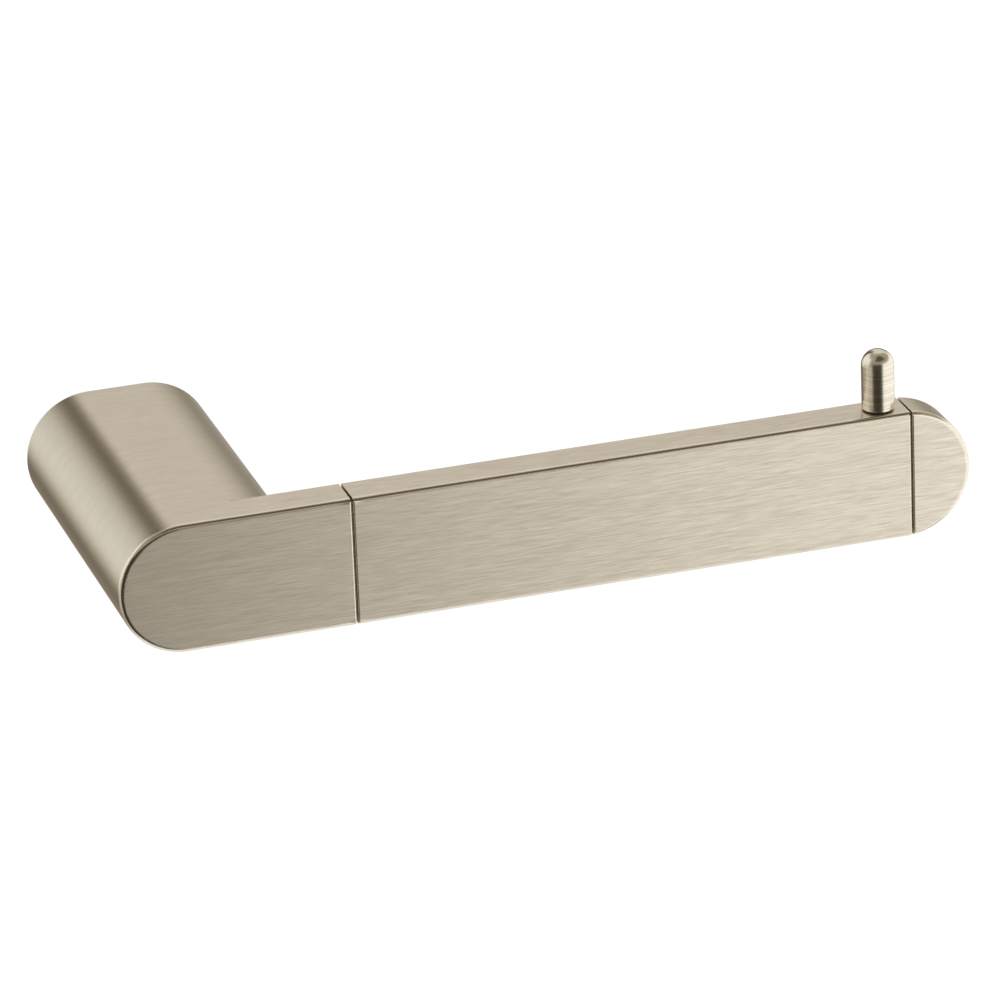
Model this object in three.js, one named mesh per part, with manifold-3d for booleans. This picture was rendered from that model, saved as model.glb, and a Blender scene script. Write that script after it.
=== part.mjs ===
// A wall-mounted toilet paper holder: a hollow post with round sides, and an open arm in
// three sections that runs from the front of the post to a half-round free end.
// An upright pin near the free end keeps the roll on the arm.
//
// Millimetres. The origin is the middle of the wall bracket's back face, on the wall.
// +X runs along the arm to its free end, +Y into the wall, +Z up.

import * as THREE from "three";
import { mergeVertices } from "three/addons/utils/BufferGeometryUtils.js";
import Module from "manifold-3d";

const wasm = await Module();
wasm.setup();

// Overall sizes
const HOLDER_LENGTH = 180; // left side of the post to the free end
const PROJECTION = 76.5; // wall to the front face
const BAR_HEIGHT = 27.5; // the post has the same height
const BAR_THICKNESS = 8.8;
const POST_WIDTH = 39.4;
const POST_WALL = 3;
const FRONT_FILLET = 1;

// The arm's sections and the reveals between them
const STUB_LENGTH = 9.3; // post's right side to the middle of the inner reveal
const END_CAP_LENGTH = 12.6; // middle of the outer reveal to the free end
const REVEAL = 0.4;
const REVEAL_EDGE = 0.25; // rounding of the front edges beside a reveal
const LAND_INSET = 1.5; // the raised land that sets the reveal stays this far inside the outline
const REST_GAP = 0.05; // between faces that rest on each other

// The tie rod and dowels that hold the sections in line
const ROD_RADIUS = 2.5;
const ROD_DROP = 4.5; // below the arm's mid-height
const ROD_IN_POST = 16; // depth of thread in the post
const ROD_IN_CAP = 7;
const DOWEL_RADIUS = 1.5;
const DOWEL_LENGTH = 12;
const HOLE_CLEARANCE = 0.3; // on the radius, and past the end of a blind hole
const WEB = 1.6; // metal left between one hole and the next
const CHAMFER = 0.3;

// The roll stop pin
const PIN_RADIUS = 3.37;
const PIN_HEIGHT = 13; // above the arm
const PIN_INSET = 5.6; // pin's axis to the middle of the outer reveal
const PIN_STUD_RADIUS = 1.75;
const WASHER_THICKNESS = 0.3;
const WASHER_INSET = 0.35;

// The wall bracket and what holds it to the wall
const BRACKET_CLEARANCE = 0.6; // all round, inside the post
const PLATE_THICKNESS = 3.5;
const BOSS_WIDTH = 7.6;
const BOSS_HEIGHT = 10.6;
const BOSS_DEPTH = 15; // wall to the boss's end
const BOSS_LEAD_IN = 1;
const SCREW_RADIUS = 1.9;
const SCREW_LENGTH = 20;
const SCREW_TIP = 3;
const SCREW_HOLE_CLEARANCE = 0.4;
const SLOT_TRAVEL = 1.4; // height that the slotted hole gives for levelling
const HEAD_RADIUS = 3.5;
const HEAD_HEIGHT = 2.4;
const HEAD_TO_BOSS = 1.2;
const HEAD_CURVE = [[0, 1], [0.55, 0.95], [0.88, 0.7], [1, 0.35]]; // shares of radius and height
const ANCHOR_SINK = 2.5; // the anchors sit this far below the face of the tile
const ANCHOR_LENGTH = 16;
const ANCHOR_WALL = 0.7;
const ANCHOR_TIP = 3.5;
const ANCHOR_BORE_END = 0.66; // radius
const ANCHOR_NOSE = 1.74; // radius

// Set screws: one clamps the post on the bracket, one grips the tie rod in the end cap
const SET_SCREW_RADIUS = 2;
const SOCKET_ACROSS_FLATS = 2;
const SOCKET_DEPTH = 2;
const SET_SCREW_RECESS = 0.25; // below the surface that it goes in through
const TIP_GAP = 0.2; // set screw's tip to what it presses on
const CLAMP_FROM_WALL = 10;
const CAP_SCREW_FROM_REVEAL = 4.5;

// Roundness
const ARC_STEPS = 24; // straight lines in each half-round
const FILLET_STEPS = 3;
const ROUND_SIDES = 24; // sides on each small turned piece
const DOME_STEPS = 8;
const SPILL = 1; // a cut runs this far past the surface

// Places that follow from the sizes
const postSide = POST_WIDTH / 2;
const halfHeight = BAR_HEIGHT / 2;
const freeEnd = HOLDER_LENGTH - postSide;
const innerReveal = postSide + STUB_LENGTH;
const outerReveal = freeEnd - END_CAP_LENGTH;
const barBack = PROJECTION - BAR_THICKNESS;
const barMiddle = PROJECTION - BAR_THICKNESS / 2;
const pinX = outerReveal - PIN_INSET;
const rodZ = -ROD_DROP;
const rodStart = innerReveal - ROD_IN_POST;
const rodEnd = outerReveal + ROD_IN_CAP;
const dowelZ = rodZ + ROD_RADIUS + WEB + DOWEL_RADIUS + 2 * HOLE_CLEARANCE;
const studDepth = halfHeight - (dowelZ + DOWEL_RADIUS + 2 * HOLE_CLEARANCE + WEB);
const screwX = BOSS_WIDTH / 2 + HEAD_TO_BOSS + HEAD_RADIUS;
const screwHole = SCREW_RADIUS + SCREW_HOLE_CLEARANCE;
const capScrewX = outerReveal + CAP_SCREW_FROM_REVEAL;

const brushedNickel = { color: 0xb3a995, roughness: 0.34, metalness: 1 };
const turnedNickel = { color: 0xb0a48c, roughness: 0.2, metalness: 1 };
const castZinc = { color: 0x9a9b9c, roughness: 0.55, metalness: 1 };
const zincPlate = { color: 0xb9bcc0, roughness: 0.35, metalness: 1 };
const blackSteel = { color: 0x2b2a29, roughness: 0.5, metalness: 0.8 };
const blackNylon = { color: 0x171615, roughness: 0.6, metalness: 0 };
const greyNylon = { color: 0xa8aaa9, roughness: 0.6, metalness: 0 };

// A geometry made into a solid: shared corners are merged and faces of no area dropped.
function toSolid(geometry) {
  geometry.deleteAttribute("normal");
  geometry.deleteAttribute("uv");
  const merged = mergeVertices(geometry, 1e-4);
  const corners = merged.index.array;
  const faces = [];
  for (let i = 0; i < corners.length; i += 3) {
    const [a, b, c] = corners.slice(i, i + 3);
    if (a !== b && b !== c && c !== a) {
      faces.push(a, b, c);
    }
  }
  const vertProperties = new Float32Array(merged.attributes.position.array);
  const triVerts = new Uint32Array(faces);
  return new wasm.Manifold(new wasm.Mesh({ numProp: 3, vertProperties, triVerts }));
}

function toMesh(name, solid, finish) {
  const { vertProperties, triVerts } = solid.getMesh();
  const geometry = new THREE.BufferGeometry();
  geometry.setAttribute("position", new THREE.BufferAttribute(vertProperties, 3));
  geometry.setIndex(new THREE.BufferAttribute(triVerts, 1));
  geometry.computeVertexNormals();
  const mesh = new THREE.Mesh(geometry, new THREE.MeshStandardMaterial(finish));
  mesh.name = name;
  return mesh;
}

// Outlines are drawn in X and Z, seen from the front.

// A rectangle with flat top and bottom and half-round sides.
function stadium(width, height) {
  const radius = height / 2;
  const straight = width / 2 - radius;
  const outline = new THREE.Shape();
  outline.moveTo(-straight, -radius);
  outline.lineTo(straight, -radius);
  outline.absarc(straight, 0, radius, -Math.PI / 2, Math.PI / 2, false);
  outline.lineTo(-straight, radius);
  outline.absarc(-straight, 0, radius, Math.PI / 2, 1.5 * Math.PI, false);
  return outline;
}

function rectangle(left, right, height) {
  const outline = new THREE.Shape();
  outline.moveTo(left, -height / 2);
  outline.lineTo(right, -height / 2);
  outline.lineTo(right, height / 2);
  outline.lineTo(left, height / 2);
  return outline;
}

function box(low, high) {
  const [width, depth, height] = high.map((top, axis) => top - low[axis]);
  const block = new THREE.BoxGeometry(width, depth, height);
  block.translate(low[0] + width / 2, low[1] + depth / 2, low[2] + height / 2);
  return toSolid(block);
}

// An outline carried from one distance off the wall to another.
function prism(outline, near, far) {
  const block = new THREE.ExtrudeGeometry(outline, {
    depth: far - near,
    bevelEnabled: false,
    curveSegments: ARC_STEPS,
  });
  block.rotateX(Math.PI / 2);
  block.translate(0, -near, 0);
  return toSolid(block);
}

// The same, with the edges of its front face rounded.
function roundedPrism(outline, near, far, fillet) {
  const block = new THREE.ExtrudeGeometry(outline, {
    depth: far - near - fillet,
    bevelEnabled: true,
    bevelThickness: fillet,
    bevelSize: fillet,
    bevelOffset: -fillet,
    bevelSegments: FILLET_STEPS,
    curveSegments: ARC_STEPS,
  });
  block.rotateX(Math.PI / 2);
  block.translate(0, -near, 0);
  block.computeBoundingBox();
  const { min, max } = block.boundingBox;
  const low = [min.x - SPILL, -near, min.z - SPILL];
  const high = [max.x + SPILL, max.y + SPILL, max.z + SPILL];
  return toSolid(block).subtract(box(low, high));
}

function cylinder(radius, length) {
  return new THREE.CylinderGeometry(radius, radius, length, ROUND_SIDES);
}

// A round hole along X at the arm's mid-thickness.
function holeAlongX(radius, from, to, height) {
  const core = cylinder(radius, to - from);
  core.rotateZ(Math.PI / 2);
  core.translate((from + to) / 2, -barMiddle, height);
  return toSolid(core);
}

function holeAlongZ(radius, x, y, bottom, top) {
  const core = cylinder(radius, top - bottom);
  core.rotateX(Math.PI / 2);
  core.translate(x, y, (bottom + top) / 2);
  return toSolid(core);
}

// A turned piece. The profile gives radius and distance along the axis, from one end to the other.
function turned(profile) {
  const points = profile.map(([radius, along]) => new THREE.Vector2(radius, along));
  return toSolid(new THREE.LatheGeometry(points, ROUND_SIDES));
}

// A plain round bar about its own middle, with both ends chamfered.
function roundBar(radius, length) {
  const end = length / 2;
  return turned([
    [0, -end],
    [radius - CHAMFER, -end],
    [radius, CHAMFER - end],
    [radius, end - CHAMFER],
    [radius - CHAMFER, end],
    [0, end],
  ]);
}

// The arm from the post's left side to the free end, before it is divided at the reveals.
function makeWholeArm() {
  const arm = roundedPrism(stadium(HOLDER_LENGTH, BAR_HEIGHT), barBack, PROJECTION, FRONT_FILLET);
  return arm.translate([freeEnd - HOLDER_LENGTH / 2, 0, 0]);
}

// One section of the arm, with its front edges rounded at the reveals too.
function armSection(left, right) {
  const slice = rectangle(left, right, BAR_HEIGHT + 2 * (REVEAL_EDGE + SPILL));
  return makeWholeArm().intersect(roundedPrism(slice, barBack, PROJECTION, REVEAL_EDGE));
}

// Distance from the arm's middle down to its underside, which may be part of the round end.
function undersideAt(x) {
  const pastCentre = Math.max(0, x - (freeEnd - halfHeight));
  return Math.sqrt(halfHeight ** 2 - pastCentre ** 2);
}

function tieRodHole(from, to) {
  return holeAlongX(ROD_RADIUS + HOLE_CLEARANCE, from, to, rodZ);
}

function dowelHole(reveal) {
  const reach = DOWEL_LENGTH / 2 + HOLE_CLEARANCE;
  return holeAlongX(DOWEL_RADIUS + HOLE_CLEARANCE, reveal - reach, reveal + reach, dowelZ);
}

function makePostShell() {
  const outer = stadium(POST_WIDTH, BAR_HEIGHT);
  const cavity = stadium(POST_WIDTH - 2 * POST_WALL, BAR_HEIGHT - 2 * POST_WALL);
  const front = armSection(-postSide - REVEAL_EDGE - SPILL, innerReveal - REVEAL / 2);
  const clampBottom = -halfHeight - SPILL;
  const clampTop = -halfHeight + POST_WALL + SPILL;
  return prism(outer, 0, barMiddle)
    .add(front)
    .subtract(prism(cavity, -SPILL, barBack))
    .subtract(tieRodHole(rodStart - HOLE_CLEARANCE, innerReveal))
    .subtract(dowelHole(innerReveal))
    .subtract(
      holeAlongZ(SET_SCREW_RADIUS + HOLE_CLEARANCE, 0, -CLAMP_FROM_WALL, clampBottom, clampTop),
    );
}

// The raised land on each end of the middle section, which keeps the reveal open.
function land(reveal, side) {
  const height = halfHeight - LAND_INSET;
  const tip = reveal - side * (REVEAL / 2 - REST_GAP);
  const root = reveal + side * (REVEAL / 2 + SPILL);
  return box(
    [Math.min(tip, root), -PROJECTION + LAND_INSET, -height],
    [Math.max(tip, root), -barBack - LAND_INSET, height],
  );
}

function makeBarSection() {
  const studHole = holeAlongZ(
    PIN_STUD_RADIUS + HOLE_CLEARANCE,
    pinX,
    -barMiddle,
    halfHeight - studDepth - HOLE_CLEARANCE,
    halfHeight + SPILL,
  );
  return armSection(innerReveal + REVEAL / 2, outerReveal - REVEAL / 2)
    .add(land(innerReveal, 1))
    .add(land(outerReveal, -1))
    .subtract(tieRodHole(innerReveal - SPILL, outerReveal + SPILL))
    .subtract(dowelHole(innerReveal))
    .subtract(dowelHole(outerReveal))
    .subtract(studHole);
}

function makeEndCap() {
  return armSection(outerReveal + REVEAL / 2, freeEnd + REVEAL_EDGE + SPILL)
    .subtract(tieRodHole(outerReveal, rodEnd + HOLE_CLEARANCE))
    .subtract(dowelHole(outerReveal))
    .subtract(
      holeAlongZ(SET_SCREW_RADIUS + HOLE_CLEARANCE, capScrewX, -barMiddle, -halfHeight - SPILL, rodZ),
    );
}

// The pin stands on its washer; its own zero is the top of the arm.
function makeRollStopPin() {
  const foot = WASHER_THICKNESS + REST_GAP;
  const shoulder = PIN_HEIGHT - PIN_RADIUS;
  const profile = [
    [0, -studDepth],
    [PIN_STUD_RADIUS - CHAMFER, -studDepth],
    [PIN_STUD_RADIUS, CHAMFER - studDepth],
    [PIN_STUD_RADIUS, foot],
    [PIN_RADIUS - CHAMFER, foot],
    [PIN_RADIUS, foot + CHAMFER],
  ];
  for (let step = 0; step < DOME_STEPS; step += 1) {
    const turn = (step / DOME_STEPS) * (Math.PI / 2);
    profile.push([PIN_RADIUS * Math.cos(turn), shoulder + PIN_RADIUS * Math.sin(turn)]);
  }
  profile.push([0, PIN_HEIGHT]);
  return turned(profile);
}

function makePinWasher() {
  const bore = PIN_STUD_RADIUS + HOLE_CLEARANCE;
  const rim = PIN_RADIUS - WASHER_INSET;
  return turned([
    [bore, 0],
    [rim, 0],
    [rim, WASHER_THICKNESS],
    [bore, WASHER_THICKNESS],
    [bore, 0],
  ]);
}

function makeWallBracket() {
  const inset = 2 * (POST_WALL + BRACKET_CLEARANCE);
  const plate = stadium(POST_WIDTH - inset, BAR_HEIGHT - inset);
  const boss = rectangle(-BOSS_WIDTH / 2, BOSS_WIDTH / 2, BOSS_HEIGHT);
  const roundHole = cylinder(screwHole, PLATE_THICKNESS + 2 * SPILL);
  roundHole.translate(-screwX, -PLATE_THICKNESS / 2, 0);
  const slot = stadium(2 * screwHole + SLOT_TRAVEL, 2 * screwHole);
  const slotHole = prism(slot, -SPILL, PLATE_THICKNESS + SPILL)
    .rotate([0, 90, 0])
    .translate([screwX, 0, 0]);
  return prism(plate, 0, PLATE_THICKNESS)
    .add(roundedPrism(boss, PLATE_THICKNESS / 2, BOSS_DEPTH, BOSS_LEAD_IN))
    .subtract(toSolid(roundHole))
    .subtract(slotHole);
}

// A pan-head screw. Its own zero is the underside of the head, and it points along +Y.
function makeWallScrew() {
  return turned([
    ...HEAD_CURVE.map(([across, up]) => [HEAD_RADIUS * across, -HEAD_HEIGHT * up]),
    [HEAD_RADIUS, 0],
    [SCREW_RADIUS, 0],
    [SCREW_RADIUS, SCREW_LENGTH - SCREW_TIP],
    [0, SCREW_LENGTH],
  ]);
}

// A plug with a blind bore for the screw. Its own zero is its mouth, and it points along +Y.
function makeWallAnchor() {
  const bore = SCREW_RADIUS + HOLE_CLEARANCE;
  const body = bore + ANCHOR_WALL;
  const bottom = ANCHOR_LENGTH - ANCHOR_WALL;
  return turned([
    [0, bottom],
    [ANCHOR_BORE_END, bottom],
    [bore, ANCHOR_LENGTH - ANCHOR_TIP],
    [bore, 0],
    [body, 0],
    [body, ANCHOR_LENGTH - ANCHOR_TIP],
    [ANCHOR_NOSE, ANCHOR_LENGTH],
    [0, ANCHOR_LENGTH],
  ]);
}

// A headless screw whose tip is its own zero, with a hexagon socket in its lower end.
function makeSetScrew(length) {
  const core = turned([
    [0, -length],
    [SET_SCREW_RADIUS - CHAMFER, -length],
    [SET_SCREW_RADIUS, CHAMFER - length],
    [SET_SCREW_RADIUS, -2 * CHAMFER],
    [SET_SCREW_RADIUS - 2 * CHAMFER, 0],
    [0, 0],
  ]);
  const hexagon = SOCKET_ACROSS_FLATS / Math.sqrt(3);
  const socket = new THREE.CylinderGeometry(hexagon, hexagon, SOCKET_DEPTH + SPILL, 6);
  socket.translate(0, SOCKET_DEPTH / 2 - SPILL / 2 - length, 0);
  return core.subtract(toSolid(socket));
}

// What stays on the wall
const wallSide = new THREE.Group();
wallSide.add(toMesh("wall_bracket", makeWallBracket(), castZinc));
for (const [side, x] of [["left", -screwX], ["right", screwX]]) {
  const screw = toMesh(`wall_screw_${side}`, makeWallScrew(), zincPlate);
  screw.position.set(x, -PLATE_THICKNESS - REST_GAP, 0);
  const anchor = toMesh(`wall_anchor_${side}`, makeWallAnchor(), greyNylon);
  anchor.position.set(x, ANCHOR_SINK, 0);
  wallSide.add(screw, anchor);
}

// What comes off the wall in one piece
const holder = new THREE.Group();
holder.add(toMesh("post_shell", makePostShell(), brushedNickel));
holder.add(toMesh("bar_section", makeBarSection(), brushedNickel));
holder.add(toMesh("end_cap", makeEndCap(), brushedNickel));

const tieRod = toMesh("tie_rod", roundBar(ROD_RADIUS, rodEnd - rodStart), zincPlate);
tieRod.rotation.z = Math.PI / 2;
tieRod.position.set((rodStart + rodEnd) / 2, -barMiddle, rodZ);
holder.add(tieRod);

for (const [place, reveal] of [["inner", innerReveal], ["outer", outerReveal]]) {
  const dowel = toMesh(`dowel_${place}`, roundBar(DOWEL_RADIUS, DOWEL_LENGTH), zincPlate);
  dowel.rotation.z = Math.PI / 2;
  dowel.position.set(reveal, -barMiddle, dowelZ);
  holder.add(dowel);
}

const pin = new THREE.Group();
pin.rotation.x = Math.PI / 2;
pin.position.set(pinX, -barMiddle, halfHeight);
pin.add(toMesh("roll_stop_pin", makeRollStopPin(), turnedNickel));
pin.add(toMesh("pin_washer", makePinWasher(), blackNylon));
holder.add(pin);

const capScrewTip = rodZ - ROD_RADIUS - TIP_GAP;
const capScrewEnd = -undersideAt(capScrewX + SET_SCREW_RADIUS) + SET_SCREW_RECESS;
const capScrew = toMesh("end_cap_screw", makeSetScrew(capScrewTip - capScrewEnd), blackSteel);
capScrew.rotation.x = Math.PI / 2;
capScrew.position.set(capScrewX, -barMiddle, capScrewTip);
holder.add(capScrew);

// The screw that clamps the post on the bracket's boss
const clampTip = -BOSS_HEIGHT / 2 - TIP_GAP;
const clampEnd = -halfHeight + SET_SCREW_RECESS;
const clampScrew = toMesh("clamp_screw", makeSetScrew(clampTip - clampEnd), blackSteel);
clampScrew.rotation.x = Math.PI / 2;
clampScrew.position.set(0, -CLAMP_FROM_WALL, clampTip);

const group = new THREE.Group();
group.add(wallSide, holder, clampScrew);

export default group;
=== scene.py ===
"""A wall-mounted toilet paper holder in brushed nickel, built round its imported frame.

Lengths in the classes are in millimetres, as a maker writes them; meshes are in metres.
+X runs along the arm to its free end, +Y into the wall, +Z up.
"""

import logging
import math
from dataclasses import dataclass, field
from enum import Enum
from typing import Callable, Optional, Sequence

import bmesh
import bpy
from mathutils import Matrix, Vector


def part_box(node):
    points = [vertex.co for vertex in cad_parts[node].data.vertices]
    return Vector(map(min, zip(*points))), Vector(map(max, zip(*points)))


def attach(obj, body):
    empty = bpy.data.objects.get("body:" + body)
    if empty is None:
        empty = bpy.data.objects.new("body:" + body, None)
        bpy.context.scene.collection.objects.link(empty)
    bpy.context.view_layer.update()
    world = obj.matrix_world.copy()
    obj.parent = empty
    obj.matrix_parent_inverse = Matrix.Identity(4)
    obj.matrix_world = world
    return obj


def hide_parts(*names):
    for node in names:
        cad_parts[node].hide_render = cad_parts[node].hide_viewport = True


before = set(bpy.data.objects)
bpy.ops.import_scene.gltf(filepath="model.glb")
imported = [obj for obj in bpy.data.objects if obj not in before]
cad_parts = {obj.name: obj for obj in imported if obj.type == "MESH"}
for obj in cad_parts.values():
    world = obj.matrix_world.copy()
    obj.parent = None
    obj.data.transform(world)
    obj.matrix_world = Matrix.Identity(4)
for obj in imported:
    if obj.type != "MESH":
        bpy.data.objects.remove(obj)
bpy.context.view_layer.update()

LOG = logging.getLogger("holder")
MM = 0.001
BODY_HOLDER = "holder"
BODY_WALL = "wall_side"
BODY_CLAMP = "clamp"
ARC_STEPS = 96  # straight lines in each half-round
TURN_STEPS = 96  # round each turned piece
FILLET_STEPS = 8
SHARP_ANGLE = math.radians(32)
HOLE_CLEARANCE = 0.3  # on the radius, and past the end of a blind hole


# ---------------------------------------------------------------- shared helpers


def hex_colour(text: str) -> tuple[float, float, float, float]:
    """Turn an sRGB hex value into a linear colour.

    Args:
        text: six hex digits after a hash sign.

    Returns:
        Linear red, green and blue, and an alpha of 1.
    """
    parts = [int(text[i:i + 2], 16) / 255 for i in (1, 3, 5)]
    linear = [c / 12.92 if c <= 0.04045 else ((c + 0.055) / 1.055) ** 2.4 for c in parts]
    return (*linear, 1.0)


def add_node(tree: bpy.types.NodeTree, kind: str, inputs: Optional[dict] = None, **settings) -> bpy.types.Node:
    """Add one node, set it up and link it.

    Args:
        tree: the node tree to add to.
        kind: the node's type name.
        inputs: socket name or index to a value, or to the output socket to link from.
        settings: the node's own properties.

    Returns:
        The new node.
    """
    node = tree.nodes.new(kind)
    for name, value in settings.items():
        setattr(node, name, value)
    for name, value in (inputs or {}).items():
        if isinstance(value, bpy.types.NodeSocket):
            tree.links.new(value, node.inputs[name])
        else:
            node.inputs[name].default_value = value
    return node


def new_material(name: str) -> tuple[bpy.types.Material, bpy.types.NodeTree]:
    """Make a material with an empty node tree.

    Args:
        name: the material's name.

    Returns:
        The material and its tree.
    """
    material = bpy.data.materials.new(name)
    material.use_nodes = True
    material.node_tree.nodes.clear()
    return material, material.node_tree


def node_corners(node: str) -> tuple[Vector, Vector]:
    """Lowest and highest corner of a CAD node, in millimetres."""
    low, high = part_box(node)
    return Vector(low) / MM, Vector(high) / MM


def scaled(values: Sequence[float]) -> Vector:
    """A point in millimetres as a point in metres."""
    return Vector(values) * MM


def middle_of(node: str) -> Vector:
    """The middle of a CAD node's box, in millimetres."""
    low, high = node_corners(node)
    return (low + high) / 2


def near(a: float, b: float, slack: float = 0.01) -> bool:
    """True if two lengths in millimetres are the same, give or take the slack."""
    return abs(a - b) < slack


def extrude(bm: bmesh.types.BMesh, faces: Sequence[bmesh.types.BMFace], way: Sequence[float]) -> list:
    """Extrude faces.

    Args:
        bm: the mesh.
        faces: the faces to extrude.
        way: how far, in millimetres.

    Returns:
        The faces at the far end.
    """
    joined = any(other not in faces for f in faces for e in f.edges for other in e.link_faces)
    made = bmesh.ops.extrude_face_region(bm, geom=list(faces))["geom"]
    verts = [g for g in made if isinstance(g, bmesh.types.BMVert)]
    bmesh.ops.translate(bm, verts=verts, vec=scaled(way))
    if joined:
        bmesh.ops.delete(bm, geom=list(faces), context="FACES_ONLY")
    return [g for g in made if isinstance(g, bmesh.types.BMFace)]


def mark_edges(bm: bmesh.types.BMesh, radius_of: Callable[[Vector, Vector], float], widest: float) -> None:
    """Write on each sharp outside edge how far it is to be rounded.

    Args:
        bm: the mesh.
        radius_of: gives the radius for an edge from its two ends, all in millimetres.
        widest: the largest radius, which has a weight of 1.
    """
    layer = bm.edges.layers.float.new("bevel_weight_edge")
    for edge in bm.edges:
        if len(edge.link_faces) == 2 and edge.calc_face_angle(0) > SHARP_ANGLE and edge.is_convex:
            a, b = (v.co / MM for v in edge.verts)
            edge[layer] = radius_of(a, b) / widest


def round_marked(piece: bpy.types.Object, widest: float, steps: int = FILLET_STEPS) -> None:
    """Round the marked edges of a piece.

    Args:
        piece: the object.
        widest: the largest radius in millimetres.
        steps: how many strips each fillet has.
    """
    tool = piece.modifiers.new("rounded_edges", "BEVEL")
    tool.width = widest * MM
    tool.segments = steps
    tool.profile = 0.5
    tool.limit_method = "WEIGHT"
    tool.use_clamp_overlap = False
    split = piece.modifiers.new("split_wide_faces", "TRIANGULATE")
    split.min_vertices = 5
    bake(piece)


def bake(piece: bpy.types.Object) -> None:
    """Apply a piece's modifiers to its mesh.

    Args:
        piece: the object.
    """
    bpy.context.view_layer.update()
    ready = piece.evaluated_get(bpy.context.evaluated_depsgraph_get())
    mesh = bpy.data.meshes.new_from_object(ready)
    piece.modifiers.clear()
    old, piece.data = piece.data, mesh
    bpy.data.meshes.remove(old)
    mesh.name = piece.name
    mesh.shade_smooth()
    mesh.set_sharp_from_angle(angle=SHARP_ANGLE)


def polyline(bm: bmesh.types.BMesh, points: Sequence[Sequence[float]]) -> list[bmesh.types.BMVert]:
    """Join points, given in millimetres, with straight edges.

    Args:
        bm: the mesh to add to.
        points: the points in order.

    Returns:
        The new vertices.
    """
    verts = [bm.verts.new(scaled(p)) for p in points]
    for a, b in zip(verts, verts[1:]):
        bm.edges.new((a, b))
    return verts


def arc_points(centre: tuple[float, float], radius: float, start: float, end: float, steps: int) -> list:
    """Points on an arc, for a turned profile: radius from the axis, then distance along it.

    Args:
        centre: the arc's centre.
        radius: the arc's radius.
        start: first angle in degrees, from the direction away from the axis.
        end: last angle in degrees.
        steps: how many straight lines stand for the arc.

    Returns:
        The points in order.
    """
    turns = [math.radians(start + (end - start) * i / steps) for i in range(steps + 1)]
    return [(centre[0] + radius * math.cos(t), centre[1] + radius * math.sin(t)) for t in turns]


def turned(profile: Sequence[tuple[float, float]], steps: int = TURN_STEPS) -> bmesh.types.BMesh:
    """Spin a profile once round the Z axis.

    Args:
        profile: radius and height of each point in millimetres, from one end to the other.
        steps: how many strips go round.

    Returns:
        The closed mesh.
    """
    bm = bmesh.new()
    verts = polyline(bm, [(radius, 0, height) for radius, height in profile])
    geom = verts + bm.edges[:]
    bmesh.ops.spin(bm, geom=geom, cent=(0, 0, 0), axis=(0, 0, 1), angle=2 * math.pi, steps=steps, use_merge=True)
    bmesh.ops.remove_doubles(bm, verts=bm.verts[:], dist=1e-7)
    bmesh.ops.recalc_face_normals(bm, faces=bm.faces[:])
    return bm


def place(bm: bmesh.types.BMesh, along: str, point: Sequence[float]) -> None:
    """Turn a piece made along +Z to lie along another axis, then move it.

    Args:
        bm: the mesh.
        along: the signed axis that its +Z goes to, such as "-Y".
        point: where its own zero goes, in millimetres.
    """
    turns = {
        "+X": Matrix.Rotation(math.pi / 2, 3, "Y"),
        "-X": Matrix.Rotation(-math.pi / 2, 3, "Y"),
        "+Y": Matrix.Rotation(-math.pi / 2, 3, "X"),
        "-Y": Matrix.Rotation(math.pi / 2, 3, "X"),
        "+Z": Matrix.Identity(3),
        "-Z": Matrix.Rotation(math.pi, 3, "X"),
    }
    bmesh.ops.rotate(bm, verts=bm.verts[:], cent=(0, 0, 0), matrix=turns[along])
    bmesh.ops.translate(bm, verts=bm.verts[:], vec=scaled(point))


def mesh_object(name: str, bm: bmesh.types.BMesh) -> bpy.types.Object:
    """Make a mesh into an object at the origin, with smooth shading between its sharp edges.

    Args:
        name: the object's name.
        bm: the finished mesh, which is freed.

    Returns:
        The object, in the scene.
    """
    bmesh.ops.remove_doubles(bm, verts=bm.verts[:], dist=1e-7)
    bmesh.ops.recalc_face_normals(bm, faces=bm.faces[:])
    mesh = bpy.data.meshes.new(name)
    bm.to_mesh(mesh)
    bm.free()
    mesh.shade_smooth()
    mesh.set_sharp_from_angle(angle=SHARP_ANGLE)
    piece = bpy.data.objects.new(name, mesh)
    bpy.context.scene.collection.objects.link(piece)
    return piece


def cut(piece: bpy.types.Object, cutters: Sequence[bmesh.types.BMesh], join: bool = False) -> None:
    """Cut closed shapes out of a piece, or join them to it.

    Args:
        piece: the object to change.
        cutters: closed meshes, which are freed.
        join: True to join them instead of cutting them out.
    """
    for cutter_mesh in cutters:
        cutter = mesh_object("cutter", cutter_mesh)
        tool = piece.modifiers.new("cut", "BOOLEAN")
        tool.operation = "UNION" if join else "DIFFERENCE"
        tool.solver = "EXACT"
        tool.object = cutter
        bake(piece)
        spare = cutter.data
        bpy.data.objects.remove(cutter)
        bpy.data.meshes.remove(spare)


def block(low: Sequence[float], high: Sequence[float]) -> bmesh.types.BMesh:
    """A rectangular block between two corners.

    Args:
        low: the lowest corner, in millimetres.
        high: the highest corner.

    Returns:
        The closed mesh.
    """
    bm = bmesh.new()
    bmesh.ops.create_cube(bm, size=MM)
    size = [b - a for a, b in zip(low, high)]
    bmesh.ops.scale(bm, verts=bm.verts[:], vec=size)
    bmesh.ops.translate(bm, verts=bm.verts[:], vec=scaled([(a + b) / 2 for a, b in zip(low, high)]))
    return bm


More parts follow.
